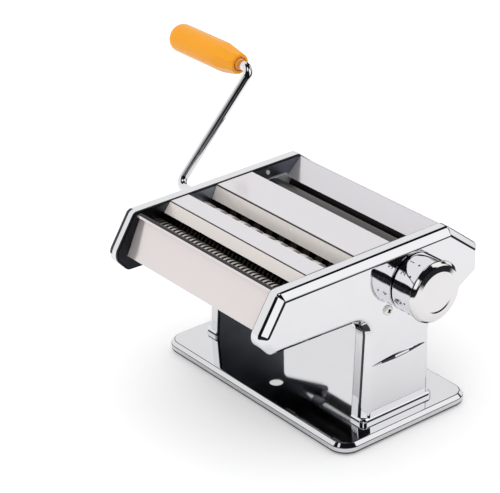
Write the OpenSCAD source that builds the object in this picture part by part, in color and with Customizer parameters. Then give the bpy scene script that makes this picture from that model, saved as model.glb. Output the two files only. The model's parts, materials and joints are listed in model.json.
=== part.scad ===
// Hand-cranked pasta machine: a smooth roller pair with an adjustable gap, a wide cutter pair and a
// fine cutter pair, in a frame of two plates under pressed covers.
// X runs along the rollers with the crank at -X and the regulator knob at +X, the front is at -Y,
// Z is up, and the origin is on the table under the middle of the base.

/* [Base] */
// Length of the base tray along the rollers
base_length = 201; // [196:1:240]
// Depth of the base tray from front to back
base_depth = 118; // [110:1:150]
// Height of the top of the base over the table
base_top = 9; // [7:0.5:14]
// Corner radius of the base tray
base_corner = 13; // [6:1:20]
// Sheet thickness of the base tray
base_sheet = 1; // [0.8:0.1:1.6]
// Width of the bevel around the rim of the tray
base_bevel = 2.2; // [1:0.1:3]
// Height of the gap between the skirt of the tray and the table
base_lift = 2; // [1:0.5:3]
// Diameter of each rubber foot
foot_d = 16; // [10:1:20]
// Diameter of the hole for a table clamp
clamp_hole_d = 10; // [6:0.5:14]
// Place of the clamp hole along the rollers
clamp_hole_x = 3; // [-20:1:20]
// Place of the clamp hole in front of the middle
clamp_hole_y = -37; // [-46:1:-34]

/* [Head] */
// Clear distance between the two inner frame plates
frame_span = 147; // [140:1:152]
// Thickness of the inner frame plates
frame_sheet = 2; // [1.5:0.1:2.5]
// Space for gears between each frame plate and its cover
gear_space = 10.5; // [10:0.5:14]
// Sheet thickness of the side covers
cover_sheet = 1; // [0.8:0.1:1.4]
// Width of the bevel around each side cover
cover_bevel = 3.6; // [2:0.1:4]
// Height of the top of the head over the table
head_top = 133.5; // [132:0.5:140]
// Thickness of the deck, apron and guide sheets
deck_sheet = 0.8; // [0.6:0.1:1]
// Depth of each leg from front to back at the base
leg_depth = 63; // [58:1:70]

/* [Rollers] */
// Radius of the smooth rollers
roller_r = 13.5; // [12.5:0.1:14]
// Wall of the smooth roller tubes
roller_wall = 2; // [1.5:0.1:4]
// Place of the adjustable roller behind the middle, at its middle setting
roller_y = 21.7; // [20:0.1:23]
// Height of the smooth rollers over the table
roller_z = 109.5; // [108.5:0.1:110.5]
// Gap between the smooth rollers at the middle setting
roller_gap = 2.4; // [2.2:0.1:3]
// Travel of the adjustable roller each way from the middle setting
roller_travel = 2.07; // [1.5:0.01:2.1]
// Number of teeth on each long roller gear
roller_teeth = 12; // [12:1:14]

/* [Cutters] */
// Outer radius of the cutter rings
cutter_r = 10.5; // [10:0.1:10.8]
// Distance between the axes of a cutter pair
cutter_pitch = 18; // [17.8:0.1:18.6]
// Place of the crank shaft, the rear wide cutter
wide_rear_y = -23.3; // [-24:0.1:-22]
// Height of the wide cutters
wide_z = 113.2; // [112.5:0.1:114]
// Number of rings on each wide cutter
wide_rings = 11; // [9:1:13]
// Place of the rear fine cutter
fine_rear_y = -64.4; // [-65.4:0.1:-64]
// Height of the fine cutters
fine_z = 113.6; // [113:0.1:114]
// Number of rings on each fine cutter
fine_rings = 35; // [24:1:40]
// Side play between the rings of a cutter pair
ring_play = 0.15; // [0.1:0.05:0.25]

/* [Shafts] */
// Radius of the journals that run in the bushes
journal_r = 6; // [5.5:0.1:6.5]
// Radial running clearance of every turning or sliding fit
run_gap = 0.05; // [0.03:0.01:0.1]
// Radial gap between pieces that are fixed together
seat_gap = 0.02; // [0.01:0.01:0.05]
// Radius of the crank rod and of its sockets less the running clearance
rod_r = 4; // [3.5:0.1:4]
// Depth of the crank sockets
socket_depth = 18; // [12:1:22]
// Width of all gears
gear_width = 5; // [4:0.5:5.5]

/* [Regulator knob] */
// Place of the knob axis behind the middle
knob_y = 15.8; // [15:0.1:17]
// Height of the knob axis
knob_z = 104.9; // [104:0.1:106]
// Radius of the numbered drum
dial_r = 21.5; // [19:0.5:23]
// Length of the numbered drum
dial_length = 17.5; // [15:0.5:20]
// Radius of the cap on the drum
cap_r = 22.4; // [20:0.1:24]
// Thickness of the cap at its rim
cap_height = 4.5; // [3:0.5:6]
// Distance that the knob pulls out
knob_pull = 4.5; // [3:0.5:5]
// Angle that the knob turns each way from the middle setting
knob_angle = 80; // [60:5:90]
// Radius of the regulator shaft
knob_shaft_r = 4; // [3.5:0.1:4.5]

/* [Crank] */
// Distance from the middle of the machine to the arm of the crank
crank_x = 128; // [115:1:140]
// Length of the crank arm between its two bends
crank_arm = 100.5; // [80:0.1:110]
// Lean of the crank arm to the rear from upright
crank_lean = 43.9; // [0:0.1:60]
// Centre-line radius of the bends
bend_r = 8; // [7:1:16]
// Length of the grip
grip_length = 79; // [70:1:100]
// Largest radius of the grip
grip_r = 11; // [9:0.5:14]

/* [Hidden] */
$fn = 48;

// Planes across the machine, as distances from its middle
frame_in = frame_span / 2;
frame_out = frame_in + frame_sheet;
cover_face = frame_out + gear_space + cover_sheet;
cover_in = cover_face - cover_sheet;
flange_edge = frame_in + 0.5;
play = 0.3;
bush_flange = 1.2;
gear_in = frame_out + 2.1;
gear_out = gear_in + gear_width;
cutter_end = frame_in - 0.7;
roller_end = frame_in - 1.5;

// Outline of a side cover in the Y-Z plane: place along Y, height and corner radius, anticlockwise
leg_middle = 1.8;
leg_front = leg_middle - leg_depth / 2;
leg_rear = leg_middle + leg_depth / 2;
leg_drop = 6;
leg_taper = 5.1;
head_under = head_top - 45;
head_rear = 77.5;
head_corners = [
    [leg_front - leg_drop * leg_taper / (head_under - base_top), base_top - leg_drop, 1],
    [leg_rear, base_top - leg_drop, 1],
    [leg_rear, head_top - 67.5, 9],
    [head_rear, head_top - 41.5, 4.5],
    [head_rear, head_top - 21.5, 4.5],
    [head_rear - 27.2, head_top, 6],
    [-98.5, head_top, 5],
    [-117.5, head_top - 29.5, 9],
    [-106, head_top - 42.5, 6],
    [leg_front + leg_taper, head_under, 13]
];
arc_steps = 6;
inner_inset = cover_sheet + play;

// Shafts, as place along Y and height
wide_rear = [wide_rear_y, wide_z];
wide_front = [wide_rear_y - cutter_pitch, wide_z];
fine_rear = [fine_rear_y, fine_z];
fine_front = [fine_rear_y - cutter_pitch, fine_z];
roller_front = [roller_y, roller_z];
roller_pitch = 2 * roller_r + roller_gap;
roller_rear = [roller_y + roller_pitch, roller_z];
fixed_shafts = [wide_rear, wide_front, fine_rear, fine_front, roller_rear];
crank_shafts = [wide_rear, fine_rear, roller_rear];
bush_wall = 2;
bush_r = journal_r + run_gap + bush_wall;
bush_flange_r = bush_r + 0.8;
shaft_end = cover_face + 0.6;
gear_shaft_r = 5;

// Long roller gears stay in mesh over the whole travel
roller_gear_tip = roller_pitch / 2 + 1.6;
roller_gear_root = roller_pitch - roller_travel - roller_gear_tip - 0.3;
cutter_teeth = 18;
cutter_gear_tip = cutter_pitch / 2 + 0.9;
cutter_gear_root = cutter_pitch / 2 - 1.2;

// Cutter ring cores leave room for the rings of the mate
core_r = cutter_pitch - cutter_r - 0.3;

// Tie rods, as place along Y and height
rod_shoulder_r = 3.5;
rod_end_r = 2.5;
rod_nut_h = 1.9;
rear_rod = [roller_rear[0], roller_z - 21];
tie_rod_places = [[-97, 100], [-53, 98], [-10, 103], rear_rod];

// Sliding blocks of the adjustable roller
block_half = journal_r + run_gap + 2;
block_flange = 1.5;
block_in = frame_out + 0.2;
block_out = block_in + block_flange;
block_lip = 2.5;
bar_r = 3;
bar_place = [roller_y, roller_z - 21.5];
window_gap = 0.1;

// Regulator
knob_place = [knob_y, knob_z];
disc_r = 17.5;
disc_in = block_out + 2.8;
disc_out = disc_in + 4.3;
follower_r = 1.5;
follower_reach = 13;
groove_gap = 0.15;
groove_depth = 3;
travel_per_degree = roller_travel / knob_angle;
regulator_bush_r = knob_shaft_r + 3;
dial_in = cover_face + 1.5;
dial_out = dial_in + dial_length;
dial_wall = 3;
cap_face = dial_out + cap_height;
washer_in = dial_in + dial_wall + 8.5;
washer_h = 1;
knob_shaft_end = washer_in;
key_width = 2;
key_height = 1;
spring_r = 7.5;
spring_wire = 0.6;
spring_turns = 5;
spring_steps = 14;
spring_sides = 6;
index_reach = 15;

// Screws
screw_r = 2;
small_screw_r = 1.5;
head_r = 2.8;
head_h = 1.4;
foot_width = 7;
post_place = [-8.2, 91.5];
post_r = 4;
cheek_top = 122.5;
cheek_low = roller_z + journal_r + 1.5;
cheek_foot = [roller_y + journal_r + roller_travel + 2, roller_rear[0] - journal_r - 2];
cheek_screw = [roller_y + 16.2, roller_z + 3.5];
foot_screw_x = frame_out + foot_width / 2;
foot_screw_ys = [leg_middle - leg_depth / 4, leg_middle + leg_depth / 4];
foot_x = base_length / 2 - foot_d / 2 - 7;
foot_y = base_depth / 2 - foot_d / 2 - 7;

// Decks, as lists of places along Y and heights along the upper skin
deck_top = head_top - 0.5;
deck_end = frame_in - 0.2;
apron_line = [[-94.6, deck_top - 0.9], [-93.7, deck_top - 1.2], [-106.5, deck_top - 30]];
mid_line = [[-51.8, deck_top], [-67.8, deck_top], [-73.6, deck_top - 7]];
roller_line = [[5.3, deck_top], [-26.85, deck_top], [-31.3, deck_top - 9.8]];
rear_line = [[37.5, deck_top - 13], [50.6, deck_top - 0.8], [head_rear - 2.2, head_top - 22.2],
    [head_rear - 2.2, head_top - 39]];
tab_sheet = 0.8;
tab_screws = [[-60, deck_top - 5.2], [-14, deck_top - 5.2], [19.6, deck_top - 4.8], [-99.5, deck_top - 24],
    [51.2, deck_top - 5.9], [head_rear - 4.8, head_top - 36.6]];

// Combs under the cutters and scrapers under the smooth rollers
comb_drop = cutter_r + 2.2;
comb_bar = 2;
comb_offset = 4;
comb_depth = 5;
tenon_depth = 4;
finger_sheet = 1.5;
scraper_sheet = 1;
scraper_clip = 1.5;
scraper_gap = 0.4;

// Plugs pressed into the roller tubes, and the dish in the face of the cap
plug_length = 12;
dish_depth = 1.6;

// Grip and crank
bend_out = crank_x + bend_r;
grip_start = crank_x + bend_r + 1;
grip_wall = 3;
rod_end = grip_start + grip_length - grip_wall - 0.5;
washer_r = 5.2;
washer_sheet = 0.8;
recess_r = 5.4;
recess_depth = 3.4;
washer_face = grip_start + recess_depth - washer_sheet - 0.3;
grip_end_r = grip_r * 0.71;
grip_taper = grip_length * 0.27;
grip_dome = grip_r * 0.8;
crank_top = wide_rear + crank_arm * [sin(crank_lean), cos(crank_lean)];

// ---- Shape helpers ----

function unit(v) = v / norm(v);
function inward(d) = [-d[1], d[0]];
function turn(d1, d2) = atan2(d1[0] * d2[1] - d1[1] * d2[0], d1 * d2);
function spin2(v, a) = [v[0] * cos(a) - v[1] * sin(a), v[0] * sin(a) + v[1] * cos(a)];

// Points of a rounded corner between two edges, after both edges move inward by inset
function corner_points(before, corner, after, inset) =
    let (p = [corner[0], corner[1]],
        d1 = unit(p - [before[0], before[1]]),
        d2 = unit([after[0], after[1]] - p),
        n1 = inward(d1),
        n2 = inward(d2),
        bend = turn(d1, d2),
        way = bend > 0 ? 1 : -1,
        reach = (n1 + n2) / (1 + n1 * n2),
        r = max(0.2, corner[2] - way * inset),
        centre = p + reach * (inset + way * r))
    [for (k = [0:arc_steps]) centre - way * r * spin2(n1, bend * k / arc_steps)];

// A rounded outline from its corners, moved inward by inset
function outline(corners, inset) =
    let (n = len(corners))
    [for (i = [0:n - 1]) each corner_points(corners[(i + n - 1) % n], corners[i], corners[(i + 1) % n], inset)];

// Height and inset of the seven rings around the bevelled wall of a tray, from its open edge round to the inside
function tray_rings(open, face, bevel, sheet, tuck) =
    [[open, 0], [face - bevel, 0], [face, bevel], [face, bevel + tuck],
        [face - sheet, bevel + tuck], [face - bevel - tuck, sheet], [open, sheet]];

// A bevelled tray of sheet along Z over an outline given by its corners
module tray(corners, open, face, bevel, sheet) {
    tuck = sheet * (sqrt(2) - 1);
    rings = tray_rings(open, face, bevel, sheet, tuck);
    n = len(outline(corners, 0));
    m = len(rings);
    points = [for (r = rings) for (p = outline(corners, r[1])) [p[0], p[1], r[0]]];
    walls = [for (k = [0:m - 1]) for (i = [0:n - 1]) let (up = (k + 1) % m, on = (i + 1) % n)
        [k * n + i, up * n + i, up * n + on, k * n + on]];
    polyhedron(points, walls, convexity = 8);
    translate([0, 0, face - sheet]) linear_extrude(sheet) polygon(outline(corners, bevel + tuck / 2));
}

// Turns a shape drawn in X-Y along Z into one in Y-Z along X
module along_x(x = 0) translate([x, 0, 0]) rotate([90, 0, 90]) children();

// A round rod along X at a place [Y, Z]
module x_rod(place, r, from, to) translate([from, place[0], place[1]]) rotate([0, 90, 0])
    cylinder(r = r, h = to - from);

// A plate along X between two distances, over a rectangle in Y-Z
module x_plate(low, high, from, to) translate([from, low[0], low[1]])
    cube([to - from, high[0] - low[0], high[1] - low[1]]);

// The same on the left or the right of the machine
module on_side(side) {
    if (side > 0) children();
    else mirror([1, 0, 0]) children();
}

module both_sides() for (side = [-1, 1]) on_side(side) children();

// A bent sheet whose upper skin follows a line of points in Y-Z, as thick as the deck sheets
module bent_sheet(line) {
    for (i = [0:len(line) - 2]) {
        d = unit(line[i + 1] - line[i]);
        side = d[0] < 0 ? inward(d) : -inward(d);
        along_x(-deck_end) linear_extrude(2 * deck_end)
            polygon([line[i], line[i + 1], line[i + 1] + deck_sheet * side, line[i] + deck_sheet * side]);
    }
    for (i = [1:len(line) - 2])
        x_rod(line[i] + [0, -deck_sheet / 2], deck_sheet / 2, -deck_end, deck_end);
}

// A tab folded down at both ends of a sheet, from corner points in Y-Z
module end_tabs(points) both_sides() along_x(deck_end - tab_sheet) linear_extrude(tab_sheet) polygon(points);

// Holes for the tab screws in the left or right plates that hold them
module tab_holes() for (p = tab_screws)
    x_rod(p, small_screw_r + seat_gap, -frame_out - 1, frame_out + 1);

// A spur gear with straight-sided teeth, its first tooth towards +Y
module gear(place, teeth, tip, root, bore, thin, shift) {
    step = 360 / teeth;
    points = [for (t = [0:teeth - 1]) for (c = [[-0.3 * thin, root], [-0.14 * thin, tip], [0.14 * thin, tip],
        [0.3 * thin, root]]) let (a = (t + shift + c[0]) * step) c[1] * [cos(a), sin(a)]];
    difference() {
        translate([gear_in, place[0], place[1]]) rotate([90, 0, 90]) linear_extrude(gear_width) polygon(points);
        x_rod(place, bore, gear_in - 1, gear_out + 1);
    }
}

// A ringed cutter roller; shift moves its rings by a share of their pitch
module cutter(place, rings, shift) {
    pitch = 2 * cutter_end / rings;
    ring_w = pitch / 2 - ring_play;
    x_rod(place, core_r, -cutter_end, cutter_end);
    for (k = [0:rings - 1]) {
        middle = -cutter_end + (k + shift) * pitch;
        x_rod(place, cutter_r, middle - ring_w / 2, middle + ring_w / 2);
    }
    x_rod(place, journal_r, -frame_out - 1.6, frame_out + 1.6);
    x_rod(place, gear_shaft_r, frame_out, gear_out + 0.4);
}

// A cutter whose left journal carries a crank socket
module driven_cutter(place, rings, shift) difference() {
    union() {
        cutter(place, rings, shift);
        x_rod(place, journal_r, -shaft_end, -frame_out);
    }
    x_rod(place, rod_r + run_gap, -shaft_end - 1, -shaft_end + socket_depth);
}

// A comb bar under a cutter, with a finger up into each groove; its ends sit in the frames
module comb(place, rings, shift, way) {
    pitch = 2 * cutter_end / rings;
    middle = place[0] + way * comb_offset;
    low = place[1] - comb_drop - comb_bar;
    reach = core_r + 0.5;
    finger_top = place[1] - sqrt(reach * reach - pow(comb_offset - finger_sheet / 2, 2));
    x_plate([middle - comb_depth / 2, low], [middle + comb_depth / 2, low + comb_bar], -frame_in + 0.2, frame_in - 0.2);
    x_plate([middle - tenon_depth / 2, low], [middle + tenon_depth / 2, low + comb_bar], -frame_out, frame_out);
    finger_w = pitch / 2 - 0.7;
    for (k = [0:rings - 1]) {
        x = -cutter_end + (k + shift + (shift > 0.5 ? -0.5 : 0.5)) * pitch;
        translate([x - finger_w / 2, middle - finger_sheet / 2, low])
            cube([finger_w, finger_sheet, finger_top - low]);
    }
}

module comb_window(place, way) {
    middle = place[0] + way * comb_offset;
    low = place[1] - comb_drop - comb_bar;
    x_plate([middle - tenon_depth / 2 - window_gap, low - window_gap],
        [middle + tenon_depth / 2 + window_gap, low + comb_bar + window_gap], frame_in - 1, frame_out + 1);
}

// A scraper blade clipped on a rod below a smooth roller
module scraper(rod, rod_radius) {
    half = roller_end - 4;
    difference() {
        union() {
            x_plate([rod[0] - scraper_sheet / 2, rod[1]], [rod[0] + scraper_sheet / 2, roller_z - roller_r - scraper_gap],
                -half, half);
            for (x = [-0.8, 0, 0.8]) x_rod(rod, rod_radius + scraper_clip, x * half - 5, x * half + 5);
        }
        x_rod(rod, rod_radius + seat_gap, -half - 1, half + 1);
    }
}

// A pan-head screw along X with its head outwards, from the plane under the head inwards
module side_screw(place, r, under, reach) {
    x_rod(place, r, under - reach, under);
    x_rod(place, head_r * r / small_screw_r, under, under + head_h);
}

// ---- Base ----

function base_corners() = [for (c = [[-1, -1], [1, -1], [1, 1], [-1, 1]])
    [c[0] * base_length / 2, c[1] * base_depth / 2, base_corner]];

module base_plate() color("gainsboro") difference() {
    tray(base_corners(), base_lift, base_top, base_bevel, base_sheet);
    translate([clamp_hole_x, clamp_hole_y, base_top - 3]) cylinder(d = clamp_hole_d, h = 6);
    for (side = [-1, 1]) for (y = foot_screw_ys)
        translate([side * foot_screw_x, y, base_top - 3]) cylinder(r = screw_r + seat_gap, h = 6);
}

module rubber_feet() color("dimgray")
    for (p = [[-foot_x, -foot_y], [foot_x, -foot_y], [foot_x, foot_y], [-foot_x, foot_y], [0, 0]])
        translate([p[0], p[1], 0]) cylinder(d = foot_d, h = base_top - base_sheet);

module frame_screws() color("silver") for (side = [-1, 1]) for (y = foot_screw_ys)
    translate([side * foot_screw_x, y, 0]) {
        translate([0, 0, base_top - base_sheet - 3]) cylinder(r = screw_r, h = base_sheet + 3 + frame_sheet);
        translate([0, 0, base_top + frame_sheet]) cylinder(r = 3.2, h = 2);
    }

module frame_nuts() color("silver") for (side = [-1, 1]) for (y = foot_screw_ys)
    translate([side * foot_screw_x, y, base_top - base_sheet - 2.2]) difference() {
        cylinder(r = 3.8, h = 2.2, $fn = 6);
        translate([0, 0, -1]) cylinder(r = screw_r + seat_gap, h = 5);
    }

// ---- Frame plates and covers ----

module inner_frame(side) color("lightsteelblue") on_side(side) difference() {
    union() {
        intersection() {
            along_x(frame_in) linear_extrude(frame_sheet) polygon(outline(head_corners, inner_inset));
            translate([0, -200, base_top]) cube([200, 400, 200]);
        }
        translate([frame_in, leg_front + inner_inset, base_top])
            cube([foot_width + frame_sheet, leg_depth - 2 * inner_inset, frame_sheet]);
    }
    for (p = fixed_shafts) x_rod(p, bush_r + seat_gap, frame_in - 1, frame_out + 1);
    x_plate(roller_front - [block_half + roller_travel + play, block_half + window_gap],
        roller_front + [block_half + roller_travel + play, block_half + window_gap], frame_in - 1, frame_out + 1);
    x_plate(bar_place - [bar_r + roller_travel + play, bar_r + play],
        bar_place + [bar_r + roller_travel + play, bar_r + play], frame_in - 1, frame_out + 1);
    for (p = tie_rod_places) x_rod(p, rod_end_r + seat_gap, frame_in - 1, frame_out + 1);
    x_rod(post_place, screw_r + seat_gap, frame_in - 1, frame_out + 1);
    x_rod(cheek_screw, small_screw_r + seat_gap, frame_in - 1, frame_out + 1);
    tab_holes();
    comb_window(wide_rear, 1);
    comb_window(wide_front, -1);
    comb_window(fine_rear, 1);
    comb_window(fine_front, -1);
    for (y = foot_screw_ys) translate([foot_screw_x, y, base_top - 1])
        cylinder(r = screw_r + seat_gap, h = frame_sheet + 2);
}

module cover_shell() difference() {
    along_x() tray(head_corners, flange_edge, cover_face, cover_bevel, cover_sheet);
    translate([0, -200, base_top - 50]) cube([200, 400, 50]);
    x_rod(post_place, screw_r + seat_gap, cover_in - 1, cover_face + 1);
}

module left_side_cover() color("gainsboro") difference() {
    on_side(-1) cover_shell();
    for (p = crank_shafts) x_rod(p, journal_r + 0.8, -cover_face - 1, -cover_in + 1);
}

module right_side_cover() color("gainsboro") difference() {
    cover_shell();
    x_rod(knob_place, regulator_bush_r + seat_gap, cover_in - 1, cover_face + 1);
    x_rod(knob_place - [0, index_reach], small_screw_r + seat_gap, cover_in - 1, cover_face + 1);
}

module cover_posts() color("silver") both_sides() difference() {
    x_rod(post_place, post_r, frame_out, cover_in);
    x_rod(post_place, screw_r + seat_gap, frame_in, cover_face);
}

module cover_screws() color("silver") both_sides() side_screw(post_place, screw_r, cover_face, 11);

module tie_rods() color("silver") for (p = tie_rod_places) {
    x_rod(p, rod_shoulder_r, -frame_in, frame_in);
    x_rod(p, rod_end_r, -frame_out - rod_nut_h, frame_out + rod_nut_h);
}

module tie_rod_nuts() color("silver") both_sides() for (p = tie_rod_places) difference() {
    along_x(frame_out) translate([p[0], p[1], 0]) cylinder(r = 4.6, h = rod_nut_h, $fn = 6);
    x_rod(p, rod_end_r + seat_gap, frame_out - 1, frame_out + 10);
}

// ---- Decks ----

module front_apron() color("mistyrose") {
    difference() {
        union() {
            bent_sheet(apron_line);
            end_tabs([apron_line[2] + [1, 1], apron_line[2] + [8, 1], apron_line[2] + [10.5, 12],
                apron_line[2] + [6.4, 12]]);
        }
        tab_holes();
    }
}

module mid_deck() color("gainsboro") difference() {
    union() {
        bent_sheet(mid_line);
        end_tabs([[-66, deck_top - 0.1], [-66, deck_top - 8], [-54, deck_top - 8], [-54, deck_top - 0.1]]);
    }
    tab_holes();
}

module roller_deck() color("gainsboro") difference() {
    union() {
        bent_sheet(roller_line);
        end_tabs([[-24, deck_top - 0.1], [-24, deck_top - 8], [23, deck_top - 8], [23, deck_top - 2],
            [5, deck_top - 0.1]]);
    }
    tab_holes();
}

module rear_guide() color("gainsboro") difference() {
    union() {
        bent_sheet(rear_line);
        end_tabs([[50.6, deck_top - 1.1], [46.2, deck_top - 5.3], [47.8, deck_top - 8.6], [55, deck_top - 8.6],
            [57.5, deck_top - 6.8]]);
        end_tabs([rear_line[3], rear_line[3] + [0, 5.5], rear_line[3] + [-5.6, 5.5], rear_line[3] + [-5.6, 0]]);
    }
    tab_holes();
}

module deck_screws() color("silver") both_sides() for (p = tab_screws)
    side_screw(p, small_screw_r, frame_out, frame_sheet + 1);

module dough_cheeks() color("gainsboro") both_sides() difference() {
    union() {
        x_plate([roller_y - 8, cheek_low], [rear_line[0][0] - 0.3, cheek_top], roller_end + 0.2, frame_in);
        x_plate([cheek_foot[0], roller_z], [cheek_foot[1], rear_line[0][1] - 0.8], roller_end + 0.2, frame_in);
    }
    x_rod(cheek_screw, small_screw_r + seat_gap, frame_in - 5, frame_out);
}

module cheek_screws() color("silver") both_sides()
    side_screw(cheek_screw, small_screw_r, frame_out, frame_sheet + 1);

// ---- Bearings, combs and scrapers ----

module shaft_bushes() color("goldenrod") both_sides() for (p = fixed_shafts) difference() {
    union() {
        x_rod(p, bush_r, frame_in, frame_out);
        x_rod(p, bush_flange_r, frame_out, frame_out + bush_flange);
    }
    x_rod(p, journal_r + run_gap, frame_in - 1, frame_out + bush_flange + 1);
}

module fine_combs() color("silver") {
    comb(fine_rear, fine_rings, 0.75, 1);
    comb(fine_front, fine_rings, 0.25, -1);
}

module wide_combs() color("silver") {
    comb(wide_rear, wide_rings, 0.75, 1);
    comb(wide_front, wide_rings, 0.25, -1);
}

module drive_scraper() color("silver") scraper(rear_rod, rod_shoulder_r);

// ---- Cutters ----

module wide_cutter_drive() color("lightgray") driven_cutter(wide_rear, wide_rings, 0.75);
module wide_cutter_mate() color("lightgray") cutter(wide_front, wide_rings, 0.25);
module fine_cutter_drive() color("lightgray") driven_cutter(fine_rear, fine_rings, 0.75);
module fine_cutter_mate() color("lightgray") cutter(fine_front, fine_rings, 0.25);

// Turn of a mate's gear, in shares of its tooth pitch, that puts a gap opposite a tooth of the driver
function mesh_shift(teeth) = teeth % 2 == 0 ? 0.5 : 0;

module cutter_gear(place, shift) color("darkkhaki")
    gear(place, cutter_teeth, cutter_gear_tip, cutter_gear_root, gear_shaft_r + seat_gap, 1, shift);

module wide_gear_drive() cutter_gear(wide_rear, 0);
module wide_gear_mate() cutter_gear(wide_front, mesh_shift(cutter_teeth));
module fine_gear_drive() cutter_gear(fine_rear, 0);
module fine_gear_mate() cutter_gear(fine_front, mesh_shift(cutter_teeth));

// ---- Smooth rollers ----

module roller_tube(place) color("lightgray") difference() {
    x_rod(place, roller_r, -roller_end, roller_end);
    x_rod(place, roller_r - roller_wall, -roller_end - 1, roller_end + 1);
}

// End shafts pressed into a roller tube; the left one reaches out to left_end
module roller_ends(place, left_end, right_end) {
    for (side = [-1, 1]) on_side(side) x_rod(place, roller_r - roller_wall - seat_gap, roller_end - plug_length, roller_end);
    x_rod(place, journal_r, -left_end, -roller_end + 1);
    x_rod(place, journal_r, roller_end - 1, right_end);
}

module roller_gear(place, shift) color("darkkhaki") on_side(-1)
    gear(place, roller_teeth, roller_gear_tip, roller_gear_root, journal_r + seat_gap, 0.82, shift);

module drive_roller() roller_tube(roller_rear);
module drive_roller_shafts() color("silver") difference() {
    roller_ends(roller_rear, shaft_end, frame_out + 1.6);
    x_rod(roller_rear, rod_r + run_gap, -shaft_end - 1, -shaft_end + socket_depth);
}
module drive_roller_gear() roller_gear(roller_rear, 0);

module adjustable_roller() roller_tube(roller_front);
module adjustable_roller_shafts() color("silver") roller_ends(roller_front, gear_out + 0.4, block_out + 0.4);
module adjustable_roller_gear() roller_gear(roller_front, mesh_shift(roller_teeth));

// ---- Carriage of the adjustable roller ----

module block_body() {
    x_plate(roller_front - [block_half, block_half], roller_front + [block_half, block_half],
        frame_in + 0.2, block_out);
    x_plate(roller_front - [block_half + block_lip, bar_r + 3 + roller_z - bar_place[1]],
        roller_front + [block_half + block_lip, block_half + block_lip], block_in, block_out);
}

module bearing_blocks() color("goldenrod") {
    difference() {
        union() {
            both_sides() block_body();
            x_plate(knob_place - [follower_reach + 4, 4], [roller_y, knob_z + 4], block_in, block_out);
        }
        x_rod(roller_front, journal_r + run_gap, -frame_out - 10, frame_out + 10);
        x_rod(bar_place, bar_r + seat_gap, -frame_out - 10, frame_out + 10);
    }
    x_rod(knob_place - [follower_reach, 0], follower_r, block_in, disc_in + groove_depth - 0.4);
}

module carriage_bar() color("silver") x_rod(bar_place, bar_r, -block_out, block_out);
module adjustable_scraper() color("silver") scraper(bar_place, bar_r);

// ---- Regulator ----

// Points of one side of the scroll groove, offset outwards by edge
function groove_edge(edge) = [for (a = [-knob_angle - 8:4:knob_angle + 8])
    let (ray = 180 - a, reach = follower_reach - travel_per_degree * a + edge) reach * [cos(ray), sin(ray)]];
function backwards(list) = [for (i = [len(list) - 1:-1:0]) list[i]];

module regulator_shaft() color("silver") {
    x_rod(knob_place, knob_shaft_r, disc_in, knob_shaft_end);
    x_plate(knob_place + [-key_width / 2, 0], knob_place + [key_width / 2, knob_shaft_r + key_height],
        dial_in + 0.2, washer_in);
}

module scroll_disc() color("darkkhaki") difference() {
    x_rod(knob_place, disc_r, disc_in, disc_out);
    translate([disc_in - 1, knob_y, knob_z]) rotate([90, 0, 90]) linear_extrude(groove_depth + 1)
        polygon(concat(groove_edge(follower_r + groove_gap), backwards(groove_edge(-follower_r - groove_gap))));
    x_rod(knob_place, knob_shaft_r + seat_gap, disc_in - 1, disc_out + 1);
}

module regulator_bush() color("goldenrod") difference() {
    union() {
        x_rod(knob_place, regulator_bush_r, cover_in - 1, cover_face + 1);
        x_rod(knob_place, regulator_bush_r + 4, cover_in - 1, cover_in);
    }
    x_rod(knob_place, knob_shaft_r + run_gap, cover_in - 3, cover_face + 3);
}

module dial() color("whitesmoke") difference() {
    x_rod(knob_place, dial_r, dial_in, dial_out);
    x_rod(knob_place, dial_r - 2, dial_in + dial_wall, dial_out + 1);
    x_rod(knob_place, knob_shaft_r + run_gap, dial_in - 1, dial_out);
    x_plate(knob_place + [-key_width / 2 - run_gap, 0],
        knob_place + [key_width / 2 + run_gap, knob_shaft_r + key_height + run_gap], dial_in - 1, dial_out);
}

module knob_cap() color("silver") translate([dial_out, knob_y, knob_z]) rotate([0, 90, 0]) difference() {
    rotate_extrude() polygon([[0, 0], [cap_r, 0], [cap_r, cap_height - 1.5], [cap_r - 0.6, cap_height - 0.4],
        [cap_r - 2, cap_height], [cap_r - 4, cap_height], [0, cap_height - dish_depth]]);
    translate([0, 0, -1]) cylinder(r = 12, h = cap_height - dish_depth - 0.4);
}

module knob_washer() color("silver") difference() {
    x_rod(knob_place, spring_r + 1.5, washer_in, washer_in + washer_h);
    x_rod(knob_place, screw_r + seat_gap, washer_in - 1, washer_in + washer_h + 1);
}

module knob_screw() color("silver") {
    x_rod(knob_place, screw_r, washer_in, washer_in + washer_h);
    x_rod(knob_place, 4, washer_in + washer_h, washer_in + washer_h + 1.6);
}

// The return spring: a coil of round wire between the back wall of the dial and the washer
module knob_spring() color("gray") {
    low = dial_in + dial_wall + spring_wire + 0.05;
    high = washer_in - spring_wire - 0.05;
    steps = spring_turns * spring_steps;
    points = [for (k = [0:steps]) let (a = 360 * k / spring_steps, x = low + (high - low) * k / steps)
        for (s = [0:spring_sides - 1]) let (b = 360 * s / spring_sides, r = spring_r + spring_wire * cos(b))
            [x + spring_wire * sin(b), knob_y + r * cos(a), knob_z + r * sin(a)]];
    walls = [for (k = [0:steps - 1]) for (s = [0:spring_sides - 1]) let (t = (s + 1) % spring_sides)
        [k * spring_sides + s, k * spring_sides + t, (k + 1) * spring_sides + t, (k + 1) * spring_sides + s]];
    first = [for (s = [0:spring_sides - 1]) spring_sides - 1 - s];
    last = [for (s = [0:spring_sides - 1]) steps * spring_sides + s];
    polyhedron(points, concat(walls, [first, last]), convexity = 10);
}

module index_pin() color("silver") x_rod(knob_place - [0, index_reach], small_screw_r, cover_in - 1, dial_in - 0.3);

// ---- Crank ----

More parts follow.
